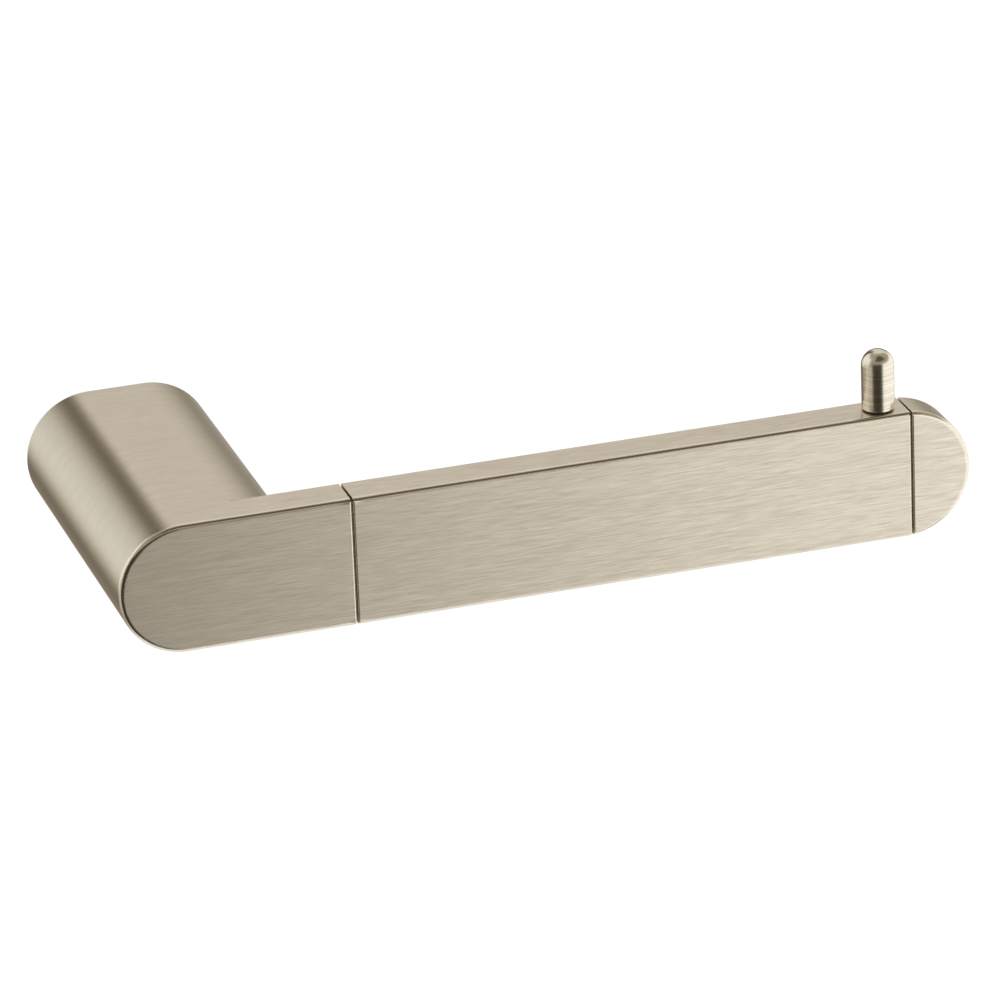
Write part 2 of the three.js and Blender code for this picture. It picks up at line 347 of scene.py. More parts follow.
def bore(radius: float, along: str, mouth: Sequence[float], depth: float, chamfer: float = 0.0) -> bmesh.types.BMesh:
    """The cutter for a drilled hole, with a shallow cone at its bottom.

    Args:
        radius: the hole's radius in millimetres.
        along: the signed axis that the drill goes along.
        mouth: where the drill enters.
        depth: how deep it goes.
        chamfer: the width of the countersink at the mouth.

    Returns:
        The closed cutter.
    """
    wide = radius + chamfer
    profile = [(0, -1), (wide, -1), (wide, 0), (radius, chamfer), (radius, depth), (0, depth + radius / 4)]
    if chamfer == 0:
        profile.pop(2)
        profile.pop(2)
    bm = turned(profile, steps=48)
    place(bm, along, mouth)
    return bm


def threaded(radius: float, core: float, pitch: float, start: float, end: float) -> bmesh.types.BMesh:
    """A rod with a screw thread all along it, cut off square at both ends, along +Z.

    Args:
        radius: radius at the thread's crests, in millimetres.
        core: radius at its roots.
        pitch: height of one turn.
        start: where the rod starts.
        end: where it ends.

    Returns:
        The closed mesh.
    """
    bm = bmesh.new()
    first = start - 1.5 * pitch
    flat = pitch / 8
    verts = polyline(
        bm,
        [
            (core, 0, first),
            (radius, 0, first + pitch / 2 - flat / 2),
            (radius, 0, first + pitch / 2 + flat / 2),
            (core, 0, first + pitch),
        ],
    )
    turns = math.ceil((end - start) / pitch) + 2
    steps = 28
    bmesh.ops.spin(bm, geom=verts + bm.edges[:], cent=(0, 0, 0), axis=(0, 0, 1), dvec=(0, 0, pitch * MM / steps),
                   angle=turns * 2 * math.pi, steps=turns * steps)
    bmesh.ops.remove_doubles(bm, verts=bm.verts[:], dist=1e-6)
    for level, outer, inner in ((start, False, True), (end, True, False)):
        made = bmesh.ops.bisect_plane(bm, geom=bm.verts[:] + bm.edges[:] + bm.faces[:], dist=1e-7,
                                      plane_co=scaled((0, 0, level)), plane_no=(0, 0, 1),
                                      clear_outer=outer, clear_inner=inner)
        rim = [g for g in made["geom_cut"] if isinstance(g, bmesh.types.BMEdge)]
        bmesh.ops.contextual_create(bm, geom=rim)
    bmesh.ops.recalc_face_normals(bm, faces=bm.faces[:])
    return bm


def taper(bm: bmesh.types.BMesh, end: float, length: float, tip: float, full: float) -> None:
    """Hold the radius of a rod's end inside a cone.

    Args:
        bm: a rod along +Z.
        end: where the cone ends.
        length: the cone's length, negative for a cone at the lower end.
        tip: the cone's radius at the end.
        full: its radius where it starts.
    """
    for vert in bm.verts:
        along = (end - vert.co.z / MM) / length
        if along < 1:
            limit = (tip + (full - tip) * max(along, 0.0)) * MM
            radius = vert.co.xy.length
            if radius > limit:
                vert.co.x *= limit / radius
                vert.co.y *= limit / radius


def gathered(*parts: bmesh.types.BMesh) -> bmesh.types.BMesh:
    """Put several meshes in one, and free them.

    Args:
        parts: the meshes.

    Returns:
        The one mesh.
    """
    whole = bmesh.new()
    for part in parts:
        spare = bpy.data.meshes.new("spare")
        part.to_mesh(spare)
        part.free()
        whole.from_mesh(spare)
        bpy.data.meshes.remove(spare)
    return whole


def finish_piece(
    piece: bpy.types.Object, body: str, node: str, materials: Sequence[bpy.types.Material]
) -> bpy.types.Object:
    """Dress a piece and tie it to the frame.

    Args:
        piece: the object.
        body: the CAD body that it moves with.
        node: the CAD node that it stands for.
        materials: its materials, in slot order.

    Returns:
        The same object.
    """
    piece.data.materials.clear()
    for material in materials:
        piece.data.materials.append(material)
    even = piece.modifiers.new("even_shading", "WEIGHTED_NORMAL")
    even.mode = "FACE_AREA"
    even.keep_sharp = True
    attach(piece, body)
    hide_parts(node)
    LOG.info("%s: %d faces, rides on %s", piece.name, len(piece.data.polygons), body)
    return piece


# ---------------------------------------------------------------- finishes


class Grain(Enum):
    """Which way a brushed surface was rubbed."""

    ALONG_ARM = "along_arm"
    ROUND_POST = "round_post"
    BUFFED_EDGE = "buffed_edge"


@dataclass(frozen=True)
class BrushedNickel:
    """Warm nickel plate over a surface rubbed with a fine abrasive belt.

    The belt leaves short hairlines, so a highlight spreads across them and stays crisp along them.
    """

    grain: Grain
    bright: str = "#f4ecda"
    deep: str = "#d8d0bd"
    hairline_width: float = 0.2
    hairline_length: float = 5.0
    drift_width: float = 1.1
    drift_length: float = 26.0
    roughness: float = 0.3
    spread: float = 0.78
    hairline_depth: float = 0.00015

    def scale(self, width: float, length: float) -> tuple[float, float, float]:
        """How many pattern cells fit in a metre along X, Y and Z.

        Args:
            width: a hairline's width in millimetres.
            length: its length in millimetres.

        Returns:
            The scale on each axis.
        """
        fine, long = 1 / (width * MM), 1 / (length * MM)
        return (long, fine, long) if self.grain is Grain.ROUND_POST else (long, fine, fine)

    def build(self) -> bpy.types.Material:
        """Make the material.

        Returns:
            The node material.
        """
        material, tree = new_material(f"brushed_nickel_{self.grain.value}")
        where = add_node(tree, "ShaderNodeTexCoord").outputs["Object"]
        patterns = []
        for width, length, detail in (
            (self.hairline_width, self.hairline_length, 2.0),
            (self.drift_width, self.drift_length, 2.0),
        ):
            mapped = add_node(
                tree, "ShaderNodeMapping", {"Vector": where, "Scale": self.scale(width, length)}
            )
            noise = add_node(
                tree,
                "ShaderNodeTexNoise",
                {"Vector": mapped.outputs[0], "Scale": 1.0, "Detail": detail, "Roughness": 0.6,
                 "Distortion": 0.15},
            )
            patterns.append(noise.outputs[0])
        hairline, drift = patterns
        both = add_node(
            tree, "ShaderNodeMix", {"Factor": 0.15, "A": hairline, "B": drift}, data_type="FLOAT"
        ).outputs[0]
        spread = add_node(
            tree,
            "ShaderNodeMapRange",
            {"Value": both, "From Min": 0.32, "From Max": 0.68, "To Min": 0.0, "To Max": 1.0},
        ).outputs[0]
        colour = add_node(
            tree,
            "ShaderNodeMix",
            {"Factor": spread, "A": hex_colour(self.deep), "B": hex_colour(self.bright)},
            data_type="RGBA",
        )
        rough = add_node(
            tree,
            "ShaderNodeMapRange",
            {"Value": both, "From Min": 0.3, "From Max": 0.7,
             "To Min": self.roughness + 0.02, "To Max": self.roughness - 0.02},
        ).outputs[0]
        bump = add_node(
            tree,
            "ShaderNodeBump",
            {"Height": hairline, "Strength": 1.0, "Distance": self.hairline_depth * MM},
        ).outputs[0]
        tangent = self.across(tree)
        shader = add_node(
            tree,
            "ShaderNodeBsdfPrincipled",
            {"Base Color": colour.outputs["Result"], "Metallic": 1.0, "Roughness": rough,
             "Anisotropic": self.spread, "Normal": bump, "Tangent": tangent},
        )
        add_node(tree, "ShaderNodeOutputMaterial", {"Surface": shader.outputs[0]})
        return material

    def across(self, tree: bpy.types.NodeTree) -> bpy.types.NodeSocket:
        """The direction across the hairlines, along which highlights spread.

        Args:
            tree: the material's node tree.

        Returns:
            The socket that gives the direction.
        """
        if self.grain is Grain.ROUND_POST:
            return add_node(tree, "ShaderNodeCombineXYZ", {"Y": 1.0}).outputs[0]
        normal = add_node(tree, "ShaderNodeNewGeometry").outputs["Normal"]
        along = add_node(tree, "ShaderNodeCombineXYZ", {"X": 1.0}).outputs[0]
        turn = add_node(tree, "ShaderNodeVectorMath", {0: normal, 1: along}, operation="CROSS_PRODUCT").outputs[0]
        lean = add_node(tree, "ShaderNodeCombineXYZ", {"Y": 0.1}).outputs[0]
        return add_node(tree, "ShaderNodeVectorMath", {0: turn, 1: lean}, operation="ADD").outputs[0]


@dataclass(frozen=True)
class TurnedNickel:
    """Nickel plate over a lathe-turned pin: rings from the tool on its side, and a buffed dome."""

    bright: str = "#f0e8d9"
    deep: str = "#c9bda6"
    ring_pitch: float = 0.22
    ring_depth: float = 0.001
    roughness: float = 0.25
    dome_roughness: float = 0.2

    def build(self, dome_from: float, dome_over: float) -> bpy.types.Material:
        """Make the material.

        Args:
            dome_from: height in millimetres at which the buffed dome starts.
            dome_over: height in millimetres over which the rings fade out.

        Returns:
            The node material.
        """
        material, tree = new_material("turned_nickel")
        where = add_node(tree, "ShaderNodeTexCoord").outputs["Object"]
        height = add_node(tree, "ShaderNodeSeparateXYZ", {"Vector": where}).outputs["Z"]
        dome = add_node(
            tree,
            "ShaderNodeMapRange",
            {"Value": height, "From Min": dome_from * MM, "From Max": (dome_from + dome_over) * MM},
        ).outputs[0]
        step = 1 / (self.ring_pitch * MM)
        mapped = add_node(
            tree, "ShaderNodeMapping", {"Vector": where, "Scale": (40.0, 40.0, step)}
        ).outputs[0]
        rings = add_node(
            tree, "ShaderNodeTexNoise", {"Vector": mapped, "Scale": 1.0, "Detail": 2.0, "Roughness": 0.55}
        ).outputs[0]
        faded = add_node(
            tree, "ShaderNodeMix", {"Factor": dome, "A": rings, "B": 0.55}, data_type="FLOAT"
        ).outputs[0]
        tone = add_node(
            tree, "ShaderNodeMapRange", {"Value": faded, "From Min": 0.3, "From Max": 0.62}
        ).outputs[0]
        colour = add_node(
            tree,
            "ShaderNodeMix",
            {"Factor": tone, "A": hex_colour(self.deep), "B": hex_colour(self.bright)},
            data_type="RGBA",
        )
        rough = add_node(
            tree,
            "ShaderNodeMapRange",
            {"Value": dome, "To Min": self.roughness, "To Max": self.dome_roughness},
        ).outputs[0]
        bump = add_node(
            tree,
            "ShaderNodeBump",
            {"Height": faded, "Strength": 1.0, "Distance": self.ring_depth * MM},
        ).outputs[0]
        shader = add_node(
            tree,
            "ShaderNodeBsdfPrincipled",
            {"Base Color": colour.outputs["Result"], "Metallic": 1.0, "Roughness": rough, "Normal": bump},
        )
        add_node(tree, "ShaderNodeOutputMaterial", {"Surface": shader.outputs[0]})
        return material


@dataclass(frozen=True)
class PlainMetal:
    """A metal that isn't brushed: cast zinc, zinc-plated steel or black-oxide steel.

    A fine mottle in colour, gloss and height gives the tumbled, plated or oxidised skin.
    """

    name: str
    light: str
    dark: str
    grit: float
    roughness: float
    depth: float

    def build(self) -> bpy.types.Material:
        """Make the material.

        Returns:
            The node material.
        """
        return mottled(self.name, self.light, self.dark, self.grit, self.roughness, self.depth, metallic=1.0)


@dataclass(frozen=True)
class Nylon:
    """Moulded nylon: a soft sheen and the faint orange peel of the mould."""

    name: str
    light: str
    dark: str
    grit: float = 0.5
    roughness: float = 0.5
    depth: float = 0.006

    def build(self) -> bpy.types.Material:
        """Make the material.

        Returns:
            The node material.
        """
        return mottled(self.name, self.light, self.dark, self.grit, self.roughness, self.depth, metallic=0.0)


def mottled(
    name: str, light: str, dark: str, grit: float, roughness: float, depth: float, metallic: float
) -> bpy.types.Material:
    """A finish with an even mottle.

    Args:
        name: the material's name.
        light: the lighter colour, in sRGB hex.
        dark: the darker colour.
        grit: the mottle's grain in millimetres.
        roughness: its middle roughness.
        depth: the height of the grain in millimetres.
        metallic: 1 for a metal and 0 for a plastic.

    Returns:
        The node material.
    """
    material, tree = new_material(name)
    where = add_node(tree, "ShaderNodeTexCoord").outputs["Object"]
    noise = add_node(
        tree,
        "ShaderNodeTexNoise",
        {"Vector": where, "Scale": 1 / (grit * MM), "Detail": 4.0, "Roughness": 0.6},
    ).outputs[0]
    tone = add_node(tree, "ShaderNodeMapRange", {"Value": noise, "From Min": 0.3, "From Max": 0.7}).outputs[0]
    colour = add_node(
        tree,
        "ShaderNodeMix",
        {"Factor": tone, "A": hex_colour(dark), "B": hex_colour(light)},
        data_type="RGBA",
    )
    rough = add_node(
        tree,
        "ShaderNodeMapRange",
        {"Value": noise, "From Min": 0.3, "From Max": 0.7, "To Min": roughness + 0.08,
         "To Max": roughness - 0.08},
    ).outputs[0]
    bump = add_node(
        tree, "ShaderNodeBump", {"Height": noise, "Strength": 1.0, "Distance": depth * MM}
    ).outputs[0]
    shader = add_node(
        tree,
        "ShaderNodeBsdfPrincipled",
        {"Base Color": colour.outputs["Result"], "Metallic": metallic, "Roughness": rough, "Normal": bump},
    )
    add_node(tree, "ShaderNodeOutputMaterial", {"Surface": shader.outputs[0]})
    return material


@dataclass
class Finishes:
    """Every material, made once and shared by the pieces."""

    arm: bpy.types.Material = field(default_factory=lambda: BrushedNickel(Grain.ALONG_ARM).build())
    post: bpy.types.Material = field(
        default_factory=lambda: BrushedNickel(Grain.ROUND_POST, "#eee6d4", "#dcd4c1").build()
    )
    edge: bpy.types.Material = field(
        default_factory=lambda: BrushedNickel(Grain.BUFFED_EDGE, roughness=0.17, spread=0.35).build()
    )
    cast: bpy.types.Material = field(
        default_factory=lambda: PlainMetal("tumbled_cast_zinc", "#a9a9a6", "#86867f", 0.6, 0.5, 0.02).build()
    )
    plated: bpy.types.Material = field(
        default_factory=lambda: PlainMetal("zinc_plated_steel", "#c9ccd0", "#a2a5a8", 0.35, 0.3, 0.004).build()
    )
    oxide: bpy.types.Material = field(
        default_factory=lambda: PlainMetal("black_oxide_steel", "#3a3836", "#232120", 0.3, 0.42, 0.004).build()
    )
    black_nylon: bpy.types.Material = field(
        default_factory=lambda: Nylon("black_nylon", "#1f1d1b", "#121110").build()
    )
    grey_nylon: bpy.types.Material = field(
        default_factory=lambda: Nylon("grey_nylon", "#a9aba9", "#979997").build()
    )


# ---------------------------------------------------------------- the arm and post


@dataclass
class Arm:
    """The post shell, the long middle section and the end cap, drawn from one rounded outline.

    Their places come from the frame; the sizes here are the edges and holes.
    """

    finishes: Finishes
    post_wall: float = 3.0
    fillet: float = 1.0
    rear_break: float = 0.3
    seam_edge: float = 0.25
    seam_break: float = 0.12
    rim_break: float = 0.4
    hold: float = 0.06
    land_inset: float = 1.5
    land_height: float = 0.35
    outline_step: float = 1.5
    rod_hole: float = 2.8
    dowel_hole: float = 1.8
    stud_hole: float = 2.05
    screw_hole: float = 2.3
    stub_grain: float = 6.0  # the last of the stub, which keeps the arm's grain
    front_skin: float = 0.3  # what is less than this behind the front keeps the arm's grain
    facing: float = 0.93  # a face that looks this straight along Y isn't a side

    def __post_init__(self) -> None:
        """Read where the sections are from the frame."""
        post_low, post_high = node_corners("post_shell")
        bar_low, bar_high = node_corners("bar_section")
        cap_low, cap_high = node_corners("end_cap")
        self.left = post_low.x
        self.right = cap_high.x
        self.front = post_low.y
        self.rear = cap_high.y
        self.half_height = post_high.z
        self.stub_end = post_high.x
        self.bar_start = bar_low.x + self.land_height
        self.bar_end = bar_high.x - self.land_height
        self.cap_start = cap_low.x
        self.post_centre = self.left + self.half_height
        self.cap_centre = self.right - self.half_height

    def half_round(self, bm: bmesh.types.BMesh, centre: float, turn: float) -> None:
        """Spin half of the outline's round side from its top to its bottom, on the front plane.

        Args:
            bm: the mesh to add to.
            centre: where the half-round's centre is along the arm, in millimetres.
            turn: how far it turns, in radians.
        """
        top = bm.verts.new(scaled((centre, self.front, self.half_height)))
        bmesh.ops.spin(bm, geom=[top], cent=scaled((centre, self.front, 0)), axis=(0, 1, 0), angle=turn,
                       steps=ARC_STEPS)

    def outline(self, left: float, right: float) -> bmesh.types.BMesh:
        """Draw the arm's outline on the front plane, filled, and keep one section of it.

        Args:
            left: where the section starts.
            right: where it ends.

        Returns:
            A flat mesh with short edges all round.
        """
        bm = bmesh.new()
        self.half_round(bm, self.post_centre, -math.pi)
        self.half_round(bm, self.cap_centre, math.pi)
        for side in (self.half_height, -self.half_height):
            places = (self.post_centre, -self.post_centre, self.cap_centre)
            polyline(bm, [(x, self.front, side) for x in places])
        bmesh.ops.remove_doubles(bm, verts=bm.verts[:], dist=1e-6)
        bmesh.ops.contextual_create(bm, geom=bm.edges[:])
        for at, outer, inner in ((left, False, True), (right, True, False)):
            if self.left < at < self.right:
                bmesh.ops.bisect_plane(bm, geom=bm.verts[:] + bm.edges[:] + bm.faces[:], dist=1e-7,
                                       plane_co=scaled((at, 0, 0)), plane_no=(1, 0, 0),
                                       clear_outer=outer, clear_inner=inner)
        return bm

    def split_long(self, bm: bmesh.types.BMesh) -> None:
        """Divide long straight edges into short ones, so that shading stays local.

        Args:
            bm: the mesh.
        """
        for edge in bm.edges[:]:
            cuts = round(edge.calc_length() / MM / self.outline_step) - 1
            if cuts > 0:
                bmesh.ops.subdivide_edges(bm, edges=[edge], cuts=cuts)

    def section(self, left: float, right: float) -> bmesh.types.BMesh:
        """Make a solid section of the arm, with its edges marked for rounding.

        Args:
            left: where the section starts.
            right: where it ends.

        Returns:
            The closed mesh.
        """
        bm = self.outline(left, right)
        self.split_long(bm)
        extrude(bm, bm.faces[:], (0, self.rear - self.front, 0))
        bmesh.ops.recalc_face_normals(bm, faces=bm.faces[:])
        mark_edges(bm, self.edge_radius, self.fillet)
        return bm

    def edge_radius(self, a: Vector, b: Vector) -> float:
        """How far an edge of the arm or post is rounded.

        Args:
            a: one end, in millimetres.
            b: the other end.

        Returns:
            The radius in millimetres.
        """
        at_front = near(a.y, self.front) and near(b.y, self.front)
        seams = (self.stub_end, self.bar_start, self.bar_end, self.cap_start)
        if any(near(a.x, s) and near(b.x, s) for s in seams):
            return 0.0 if at_front else self.seam_break
        if at_front:
            return self.fillet
        return self.rim_break if near(a.y, 0) and near(b.y, 0) else self.rear_break

    def seam_fillet(self, seam: float, side: int) -> bmesh.types.BMesh:
        """The cutter that rounds the front edge of a cut end.

        Args:
            seam: where the cut end is.
            side: +1 where the end looks along +X, and -1 where it looks along -X.

        Returns:
            The closed cutter, with a hollow quarter-round along it.
        """
        bm = bmesh.new()
        deep, out = self.seam_edge, 2.0
        level = -self.half_height - 1
        start = (seam - side * deep, self.front, level)
        tangent = bm.verts.new(scaled(start))
        bmesh.ops.spin(bm, geom=[tangent], cent=scaled((start[0], self.front + deep, level)), axis=(0, 0, 1),
                       angle=side * math.pi / 2, steps=FILLET_STEPS)
        far = seam + side * out
        polyline(bm, [(seam, self.front + deep, level), (far, self.front + deep, level),
                      (far, self.front - out, level), (start[0], self.front - out, level), start])
        bmesh.ops.remove_doubles(bm, verts=bm.verts[:], dist=1e-6)
        bmesh.ops.contextual_create(bm, geom=bm.edges[:])
        extrude(bm, bm.faces[:], (0, 0, -2 * level))
        return bm

    def round_seam(self, piece: bpy.types.Object, seam: float, side: int) -> None:
        """Round the front edge of a cut end, and keep the flat beyond it truly flat in its shading.

        Args:
            piece: the section.
            seam: where the cut end is.
            side: +1 where the end looks along +X, and -1 where it looks along -X.
        """
        cut(piece, [self.seam_fillet(seam, side)])
        bm = bmesh.new()
        bm.from_mesh(piece.data)
        bmesh.ops.bisect_plane(bm, geom=bm.verts[:] + bm.edges[:] + bm.faces[:], dist=1e-7,
                               plane_co=scaled((seam - side * (self.seam_edge + self.hold), 0, 0)),
                               plane_no=(1, 0, 0))
        bm.to_mesh(piece.data)
        bm.free()

    def middle_section(self) -> bpy.types.Object:
        """The long section, with its lands and the holes for the rod, the dowels and the pin.

        Returns:
            The finished piece.
        """
        piece = mesh_object("bar_section_visual", self.section(self.bar_start, self.bar_end))
        round_marked(piece, self.fillet)
        self.round_seam(piece, self.bar_start, -1)
        self.round_seam(piece, self.bar_end, 1)
        cut(piece, [self.land(self.bar_start, -1), self.land(self.bar_end, 1)], join=True)
        rod, inner, outer = (middle_of(n) for n in ("tie_rod", "dowel_inner", "dowel_outer"))
        inner_end = node_corners("dowel_inner")[1].x + HOLE_CLEARANCE
        outer_end = node_corners("dowel_outer")[0].x - HOLE_CLEARANCE
        pin, foot = middle_of("roll_stop_pin"), node_corners("roll_stop_pin")[0].z - HOLE_CLEARANCE
        start, end = self.bar_start - self.land_height, self.bar_end + self.land_height
        cut(
            piece,
            [
                bore(self.rod_hole, "+X", (start, rod.y, rod.z), end - start + 2),
                bore(self.dowel_hole, "+X", (start, inner.y, inner.z), inner_end - start),
                bore(self.dowel_hole, "-X", (end, outer.y, outer.z), end - outer_end),
                bore(self.stud_hole, "-Z", (pin.x, pin.y, self.half_height), self.half_height - foot),
            ],
        )
        return self.dress(piece, "bar_section")

    def dress(self, piece: bpy.types.Object, node: str) -> bpy.types.Object:
        """Give a section its brushed faces and its buffed front edges.

        Args:
            piece: the section.
            node: the CAD node that it stands for.

        Returns:
            The finished piece.
        """
        finish_piece(piece, BODY_HOLDER, node, [self.finishes.arm, self.finishes.edge])
        for face in piece.data.polygons:
            face.material_index = 1 if self.on_front_edge(face) else 0
        return piece

    def on_front_edge(self, face: bpy.types.MeshPolygon) -> bool:
        """True for a face of the fillets round the front."""
        return face.center.y / MM < self.front + self.fillet and -0.995 < face.normal.y < -0.02

    def land(self, seam: float, side: int) -> bmesh.types.BMesh:
        """The low raised land on a cut end, which keeps the reveal open.

        Args:
            seam: where the cut end is.
            side: +1 where the end looks along +X, and -1 where it looks along -X.

        Returns:
            The land as a closed block.
        """
        inset = self.land_inset
        tip, root = seam + side * self.land_height, seam - side
        return block(
            (min(tip, root), self.front + inset, inset - self.half_height),
            (max(tip, root), self.rear - inset, self.half_height - inset),
        )

    def end_cap(self) -> bpy.types.Object:
        """The half-round free end, with its blind holes and the hole for its set screw.

        Returns:
            The finished piece.
        """
        piece = mesh_object("end_cap_visual", self.section(self.cap_start, self.right))
        round_marked(piece, self.fillet)
        rod, dowel, screw = (middle_of(n) for n in ("tie_rod", "dowel_outer", "end_cap_screw"))
        rod_end = node_corners("tie_rod")[1].x + HOLE_CLEARANCE
        dowel_end = node_corners("dowel_outer")[1].x + HOLE_CLEARANCE
        self.round_seam(piece, self.cap_start, -1)
        cut(
            piece,
            [
                bore(self.rod_hole, "+X", (self.cap_start, rod.y, rod.z), rod_end - self.cap_start),
                bore(self.dowel_hole, "+X", (self.cap_start, dowel.y, dowel.z), dowel_end - self.cap_start),
                bore(self.screw_hole, "+Z", (screw.x, screw.y, -self.half_height), self.half_height + rod.z),
            ],
        )
        return self.dress(piece, "end_cap")

    def post_shell(self) -> bpy.types.Object:
        """The hollow post and the start of the arm, cast in one piece.

        Returns:
            The finished piece.
        """
        bm = self.outline(self.left, self.stub_end)
        bmesh.ops.delete(bm, geom=bm.faces[:], context="FACES_ONLY")
        self.half_round(bm, -self.post_centre, math.pi)
        bmesh.ops.remove_doubles(bm, verts=bm.verts[:], dist=1e-6)
        self.split_long(bm)
        edges = bm.edges[:]
        post = [e for e in edges if self.outlines_post(*(v.co / MM for v in e.verts))]
        stub = [e for e in edges if all(v.co.x / MM > -self.post_centre - 0.01 for v in e.verts)]
        for loop in (post, stub):
            bmesh.ops.contextual_create(bm, geom=loop)
        back = extrude(bm, bm.faces[:], (0, self.rear - self.front, 0))
        foot = min(back, key=lambda face: face.calc_center_median().x)
        rim = extrude(bm, [foot], (0, -self.rear, 0))
        bmesh.ops.inset_region(bm, faces=rim, thickness=self.post_wall * MM, use_even_offset=True)
        extrude(bm, rim, (0, self.rear, 0))
        inner = [e for e in bm.edges if e.calc_face_angle(1) < 0.001
                 and all(near(v.co.y / MM, self.front) for v in e.verts)]
        bmesh.ops.dissolve_edges(bm, edges=inner, use_verts=False)
        bmesh.ops.recalc_face_normals(bm, faces=bm.faces[:])
        mark_edges(bm, self.edge_radius, self.fillet)
        piece = mesh_object("post_shell_visual", bm)
        round_marked(piece, self.fillet)
        rod, dowel, screw = (middle_of(n) for n in ("tie_rod", "dowel_inner", "clamp_screw"))
        rod_end = node_corners("tie_rod")[0].x - HOLE_CLEARANCE
        dowel_end = node_corners("dowel_inner")[0].x - HOLE_CLEARANCE
        self.round_seam(piece, self.stub_end, 1)
        cut(
            piece,
            [
                bore(self.rod_hole, "-X", (self.stub_end, rod.y, rod.z), self.stub_end - rod_end),
                bore(self.dowel_hole, "-X", (self.stub_end, dowel.y, dowel.z), self.stub_end - dowel_end),
                bore(self.screw_hole, "+Z", (screw.x, screw.y, -self.half_height), self.post_wall + 1, 0.35),
            ],
        )
        piece = finish_piece(piece, BODY_HOLDER, "post_shell",
                             [self.finishes.arm, self.finishes.post, self.finishes.cast, self.finishes.edge])
        self.dress_post(piece)
        return piece

    def outlines_post(self, a: Vector, b: Vector) -> bool:
        """True if an edge is on the post's own outline.

        Args:
            a: one end, in millimetres.
            b: the other end.

        Returns:
            Whether it is.
        """
        middle = (a + b) / 2
        past = max(0.0, abs(middle.x) - abs(self.post_centre))
        return near(math.hypot(past, middle.z), self.half_height, 0.02) and middle.x < -self.left

    def dress_post(self, piece: bpy.types.Object) -> None:
        """Give the front the arm's grain, the round sides the post's, and the hollow its cast skin.

        A face belongs to the hollow only if every corner of it does, because some run out past the post.

        Args:
            piece: the post.
        """
        inside = self.half_height - self.post_wall / 2
        corners = [vertex.co / MM for vertex in piece.data.vertices]
        depths = [math.hypot(max(0.0, abs(corner.x) - abs(self.post_centre)), corner.z) for corner in corners]
        for face in piece.data.polygons:
            middle, normal = face.center / MM, face.normal
            depth = max(depths[index] for index in face.vertices)
            hollow = self.rear - 0.01 < middle.y < -self.rim_break / 2 and depth < inside
            side = middle.y > self.front + self.front_skin and abs(normal.y) < self.facing
            on_post = side and middle.x < self.stub_end - self.stub_grain and self.beside_post(middle)
            plain = 1 if on_post else 0
            face.material_index = 2 if hollow else 3 if self.on_front_edge(face) else plain

    def beside_post(self, middle: Vector) -> bool:
        """True for a point on the round sides and flats of the post, and False on the arm's stub."""
        return middle.x < -self.post_centre or middle.y > self.rear

    def build(self) -> None:
        """Make every piece of the arm and post."""
        self.post_shell()
        self.middle_section()
        self.end_cap()


# ---------------------------------------------------------------- what joins the arm


@dataclass
class ArmFasteners:
    """The tie rod, the two dowels and the set screw that grips the rod in the end cap."""

    finishes: Finishes
    rod_pitch: float = 0.8
    rod_thread: float = 18.0
    rod_root: float = 2.05
    dowel_chamfer: float = 0.3
    dowel_dome: float = 0.8

    def tie_rod(self) -> bpy.types.Object:
        """A plain rod with a thread at each end.

        Returns:
            The finished piece.
        """
        low, high = node_corners("tie_rod")
        radius, length = (high.z - low.z) / 2, high.x - low.x
        first = threaded(radius, self.rod_root, self.rod_pitch, 0, self.rod_thread)
        taper(first, 0, -0.6, self.rod_root - 0.1, radius)
        last = threaded(radius, self.rod_root, self.rod_pitch, length - self.rod_thread, length)
        taper(last, length, 0.6, self.rod_root - 0.1, radius)
        start, end = self.rod_thread, length - self.rod_thread
        shank = turned([(0, start), (self.rod_root, start), (radius, start + 0.5), (radius, end - 0.5),
                        (self.rod_root, end), (0, end)])
        bm = gathered(first, shank, last)
        place(bm, "+X", (low.x, (low.y + high.y) / 2, (low.z + high.z) / 2))
        piece = mesh_object("tie_rod_visual", bm)
        return finish_piece(piece, BODY_HOLDER, "tie_rod", [self.finishes.plated])

    def dowel(self, node: str) -> bpy.types.Object:
        """A ground dowel, chamfered at one end and domed at the other.

        Args:
            node: the CAD node that it stands for.

        Returns:
            The finished piece.
        """
        low, high = node_corners(node)
        radius, length, edge = (high.z - low.z) / 2, high.x - low.x, self.dowel_chamfer
        round_end = self.dowel_dome
        dome = arc_points((radius - round_end, length - round_end), round_end, 0, 75, 8)
        bm = turned([(0, 0), (radius - edge, 0), (radius, edge), *dome, (0, length)], steps=48)
        place(bm, "+X", (low.x, (low.y + high.y) / 2, (low.z + high.z) / 2))
        piece = mesh_object(f"{node}_visual", bm)
        return finish_piece(piece, BODY_HOLDER, node, [self.finishes.plated])

    def build(self) -> None:
        """Make the rod, the dowels and the end cap's set screw."""
        self.tie_rod()
        self.dowel("dowel_inner")
        self.dowel("dowel_outer")
        SetScrew(self.finishes).build("end_cap_screw", BODY_HOLDER)


